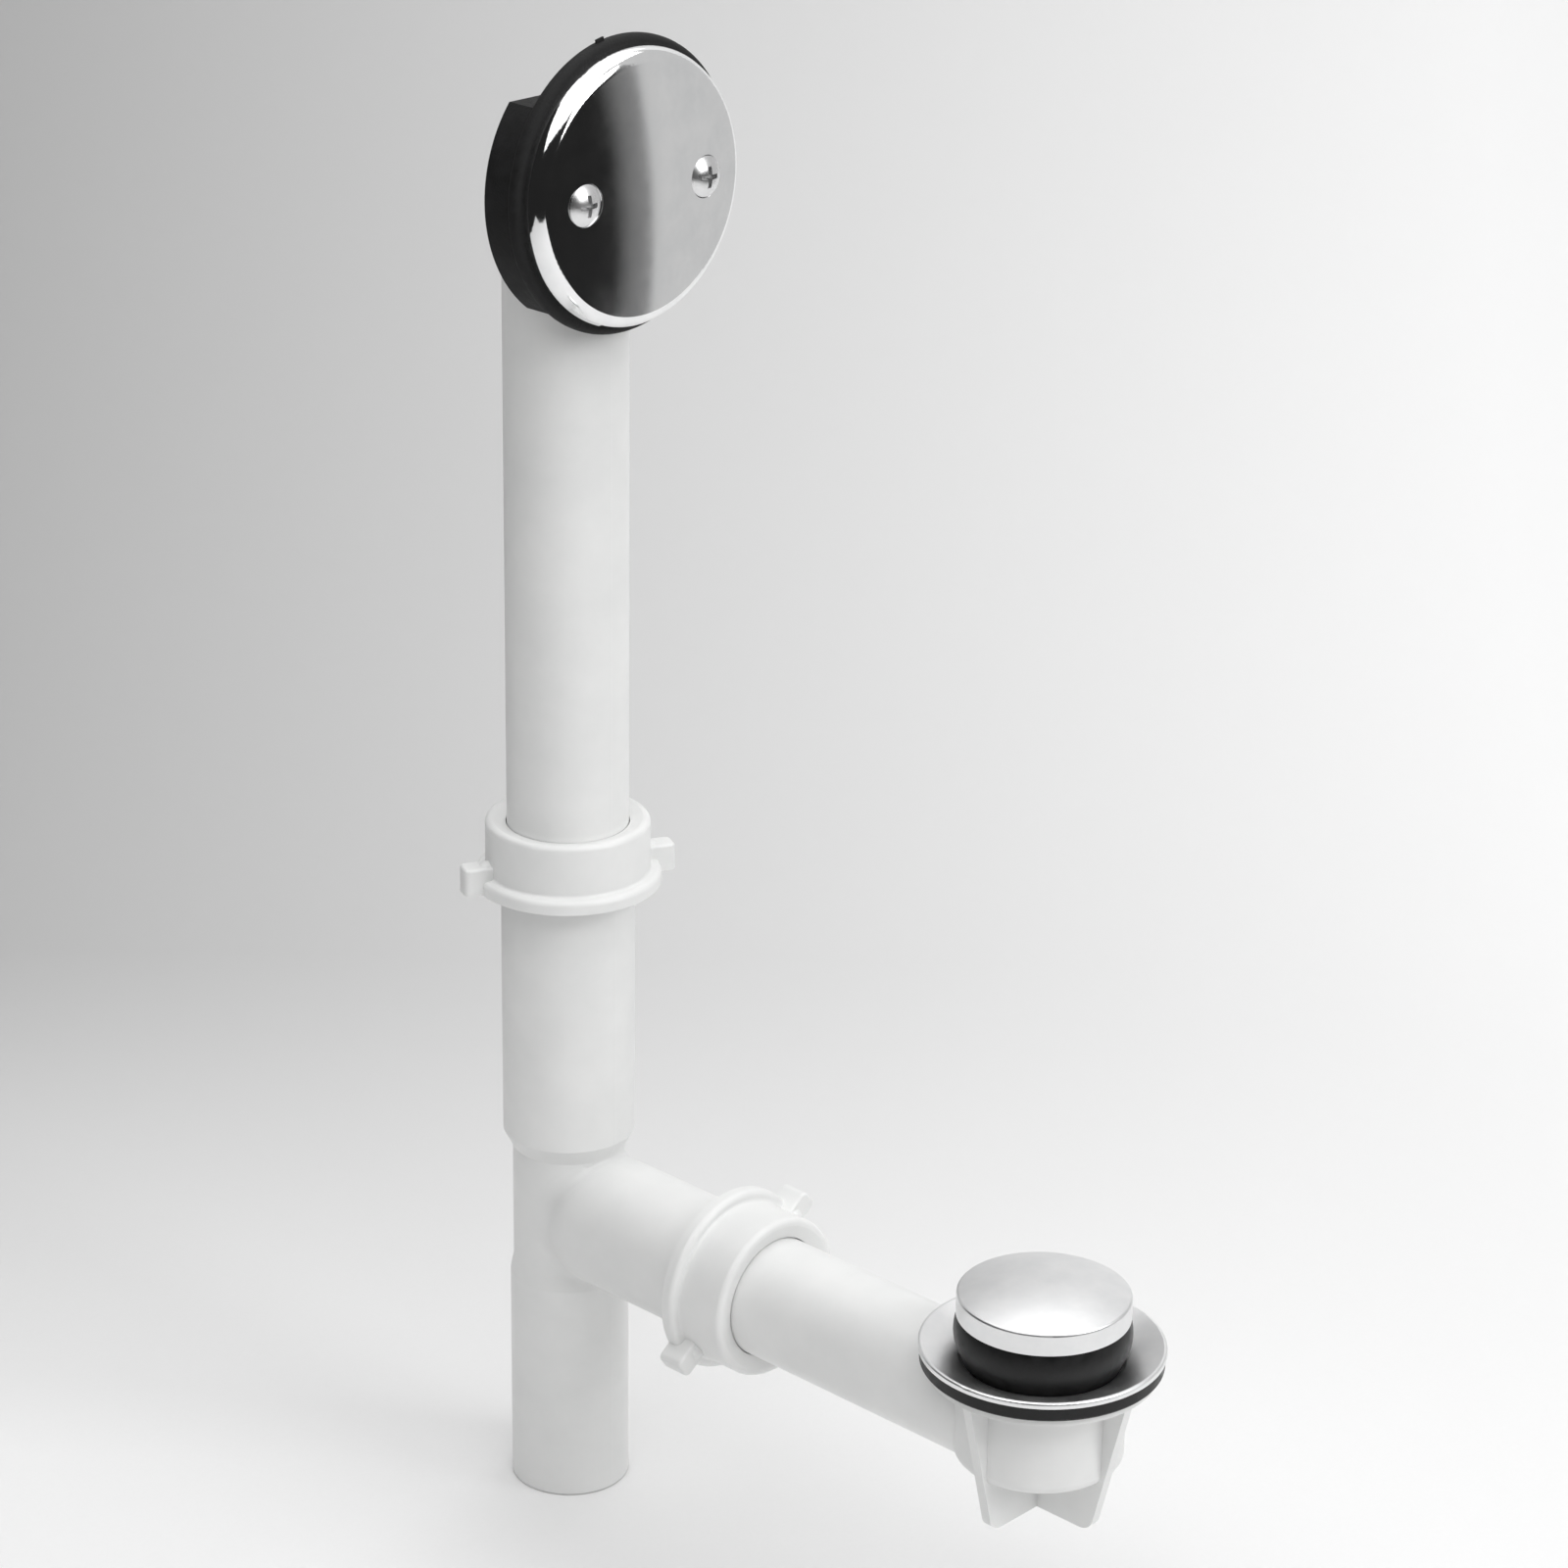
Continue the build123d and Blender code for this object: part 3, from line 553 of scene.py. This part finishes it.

# %% [markdown]
# The bevel may leave the sheet facing either way, so the first face is tested
# against the direction of the object and the whole sheet is turned over if
# need be.

# %% Turn the paper to face the object
for face in paper_mesh.faces:
    face.smooth = True
to_object = Vector((0, 0, 1)) - level_ahead
if paper_mesh.faces[:][0].normal.dot(to_object) < 0:
    bmesh.ops.reverse_faces(paper_mesh, faces=paper_mesh.faces)
paper_data = bpy.data.meshes.new("paper_sweep")
paper_mesh.to_mesh(paper_data)
paper_mesh.free()
paper = bpy.data.objects.new("paper_sweep", paper_data)
bpy.context.scene.collection.objects.link(paper)
print("paper placed as", paper.name)

# %% [markdown]
# The floor is even white paper with a faint fibre. Further back, shade is
# painted on the wall: its colour runs from grey on the left to white on the
# right, as a lamp's fall-off would. A lamp would also light the object, so the
# painted tint does it. Two helpers come first: a dot product says how far a
# point lies along a direction, and a single level is written out as a grey.

# %% Distances and greys
def add_distance_along(tree, place, direction):
    along = tree.nodes.new("ShaderNodeVectorMath")
    along.operation = "DOT_PRODUCT"
    along.inputs[1].default_value = direction
    tree.links.new(place, along.inputs[0])
    return along.outputs["Value"]


def grey(level):
    return (level, level, level)


print("made the helpers for distances and greys")

# %% [markdown]
# The distance across grades the painted shade on the wall, and the distance
# back fades the floor into it. A Mix node has a set of sockets for each type
# of value, several of them with one name, so its colours are picked by number.

# %% Paper finish
FIRST_COLOUR, SECOND_COLOUR, MIXED_COLOUR = 6, 7, 2

paper_finish, tree, shader, place = start_finish("paper")
across = add_distance_along(tree, place, level_right)
deep = add_distance_along(tree, place, level_ahead)
from_left = add_range(tree, across, 0.0, 1.0, start=-0.4, end=0.4)
from_floor = add_range(tree, deep, 0.0, 1.0, start=0.0, end=0.4)
fibres = add_noise(tree, place, scale=900.0, detail=3.0)
floor_tint = add_tint(tree, fibres, grey(0.865), grey(0.875))
# Painted shade: the wall's colour darkens from white on the right to grey on
# the left, standing in for a lamp's fall-off.
wall_painted_shade = add_tint(
    tree, from_left, grey(0.42), grey(0.90), start=0.0, end=1.0)
shades = tree.nodes.new("ShaderNodeMix")
shades.data_type = "RGBA"
tree.links.new(from_floor, shades.inputs["Factor"])
tree.links.new(floor_tint, shades.inputs[FIRST_COLOUR])
tree.links.new(wall_painted_shade, shades.inputs[SECOND_COLOUR])
tree.links.new(shades.outputs[MIXED_COLOUR], shader.inputs["Base Color"])
tree.links.new(add_bump(tree, fibres, depth=0.00001), shader.inputs["Normal"])
shader.inputs["Roughness"].default_value = 0.9
shader.inputs["Specular IOR Level"].default_value = 0.1
paper_data.materials.append(paper_finish)
print("made", paper_finish.name)

# %% [markdown]
# The object is also looked at from behind, where the wall would stand in the
# way. Moving it would change the light, so the paper is one-sided instead:
# where a ray meets its back, a Mix Shader gives a transparent surface.

# %% One-sided paper
behind = tree.nodes.new("ShaderNodeNewGeometry").outputs["Backfacing"]
see_through = tree.nodes.new("ShaderNodeBsdfTransparent")
one_sided = tree.nodes.new("ShaderNodeMixShader")
tree.links.new(behind, one_sided.inputs["Fac"])
tree.links.new(shader.outputs["BSDF"], one_sided.inputs[1])
tree.links.new(see_through.outputs["BSDF"], one_sided.inputs[2])
paper_output = next(n for n in tree.nodes if n.type == "OUTPUT_MATERIAL")
tree.links.new(one_sided.outputs["Shader"], paper_output.inputs["Surface"])
print("paper nodes:", len(tree.nodes))

# %% [markdown]
# The light is a plain product set: a broad soft box in front on the right
# models the tubes from shade on their left to full light on their right, a
# larger one overhead lights the floor and the top of the branch, and a faint
# one behind is there for the front of the stopper's cap to reflect. A weak
# one high in front lifts the side of the branch. It is hidden from glossy
# rays, so that the chrome doesn't show it.

# %% Lights
MIDDLE = Vector((0.06, 0.0, 0.22))


def add_soft_box(name, to_right, to_back, above, width, height, power):
    place = (MIDDLE + level_right * to_right + level_ahead * to_back
             + Vector((0, 0, above)))
    lamp_data = bpy.data.lights.new(name, "AREA")
    lamp_data.shape = "RECTANGLE"
    lamp_data.size = width
    lamp_data.size_y = height
    lamp_data.energy = power
    lamp = bpy.data.objects.new(name, lamp_data)
    lamp.location = place
    lamp.rotation_euler = (
        MIDDLE - place).to_track_quat("-Z", "Y").to_euler()
    bpy.context.scene.collection.objects.link(lamp)
    return lamp


add_soft_box("key_box", to_right=1.5, to_back=-0.75, above=0.95,
             width=1.0, height=1.0, power=14.0)
add_soft_box("top_box", to_right=0.0, to_back=-0.3, above=1.45,
             width=2.4, height=2.4, power=26.0)
add_soft_box("back_box", to_right=0.0, to_back=0.75, above=1.25,
             width=0.9, height=0.7, power=1.3)
front_box = add_soft_box("front_box", to_right=0.0, to_back=-0.9, above=1.2,
                         width=1.0, height=1.0, power=2.5)
front_box.visible_glossy = False

# %% [markdown]
# The world does three jobs. Two of them are plain greys: a fill that lightens
# the shadows, and a pale room that shows where a camera sees past the paper.
# A lamp could do the filling, but an even world has no direction, so it adds
# no second shadow.

# %% Fill and room
FILL_LEVEL, ROOM_LEVEL = 0.175, 0.90

world = bpy.data.worlds.new("studio")
bpy.context.scene.world = world
world.use_nodes = True
world_tree = world.node_tree
world_tree.nodes.clear()
fill_sky = world_tree.nodes.new("ShaderNodeBackground")
fill_sky.inputs["Color"].default_value = (*grey(FILL_LEVEL), 1)
room_sky = world_tree.nodes.new("ShaderNodeBackground")
room_sky.inputs["Color"].default_value = (*grey(ROOM_LEVEL), 1)
print("fill and room levels:", FILL_LEVEL, ROOM_LEVEL)

# %% [markdown]
# Chrome looks like what stands round it, so reflections get a studio of their
# own: dark behind the camera and pale on the paper's side, with a narrow grey
# step between them. That step draws the upright bands on the plate. A picture
# of a studio could do this too, but a dot product with one direction and a
# colour ramp draw the bands with nothing to load.

# %% Mirror sky
PALE_SIDE_AZIMUTH, PALE_SIDE_RISE = math.radians(115), 0.22
BANDS = ((0.19, 0.018), (0.27, 0.17), (0.37, 0.26), (0.40, 0.62))

mirror_sky = world_tree.nodes.new("ShaderNodeBackground")
direction = world_tree.nodes.new("ShaderNodeTexCoord").outputs["Generated"]
pale_side = add_distance_along(world_tree, direction, (
    math.cos(PALE_SIDE_AZIMUTH), math.sin(PALE_SIDE_AZIMUTH), PALE_SIDE_RISE))
bands = world_tree.nodes.new("ShaderNodeValToRGB")
world_tree.links.new(
    add_range(world_tree, pale_side, 0.0, 1.0, start=0.09, end=0.59),
    bands.inputs["Fac"])
darkest, *between, palest = BANDS
for stop, (stop_place, level) in zip(
        bands.color_ramp.elements, (darkest, palest)):
    stop.position = stop_place
    stop.color = (*grey(level), 1)
for stop_place, level in between:
    bands.color_ramp.elements.new(stop_place).color = (*grey(level), 1)
world_tree.links.new(bands.outputs["Color"], mirror_sky.inputs["Color"])
print("bands:", [(round(stop.position, 2), round(stop.color[0], 3))
                 for stop in bands.color_ramp.elements])

# %% [markdown]
# A Light Path node knows what kind of ray is asking, so a chain of Mix
# Shaders can hand each kind its own sky. Every link of the chain passes on
# what came before unless the ray is of its kind.

# %% Choose the sky for each ray
ray = world_tree.nodes.new("ShaderNodeLightPath")


def choose_sky(other_sky, ray_kind, sky):
    choice = world_tree.nodes.new("ShaderNodeMixShader")
    world_tree.links.new(ray.outputs[ray_kind], choice.inputs["Fac"])
    world_tree.links.new(other_sky, choice.inputs[1])
    world_tree.links.new(sky.outputs["Background"], choice.inputs[2])
    return choice.outputs["Shader"]


sky = fill_sky.outputs["Background"]
sky = choose_sky(sky, "Is Glossy Ray", mirror_sky)
sky = choose_sky(sky, "Is Transmission Ray", mirror_sky)
sky = choose_sky(sky, "Is Camera Ray", room_sky)
world_output = world_tree.nodes.new("ShaderNodeOutputWorld")
world_tree.links.new(sky, world_output.inputs["Surface"])
print("world nodes:", len(world_tree.nodes))
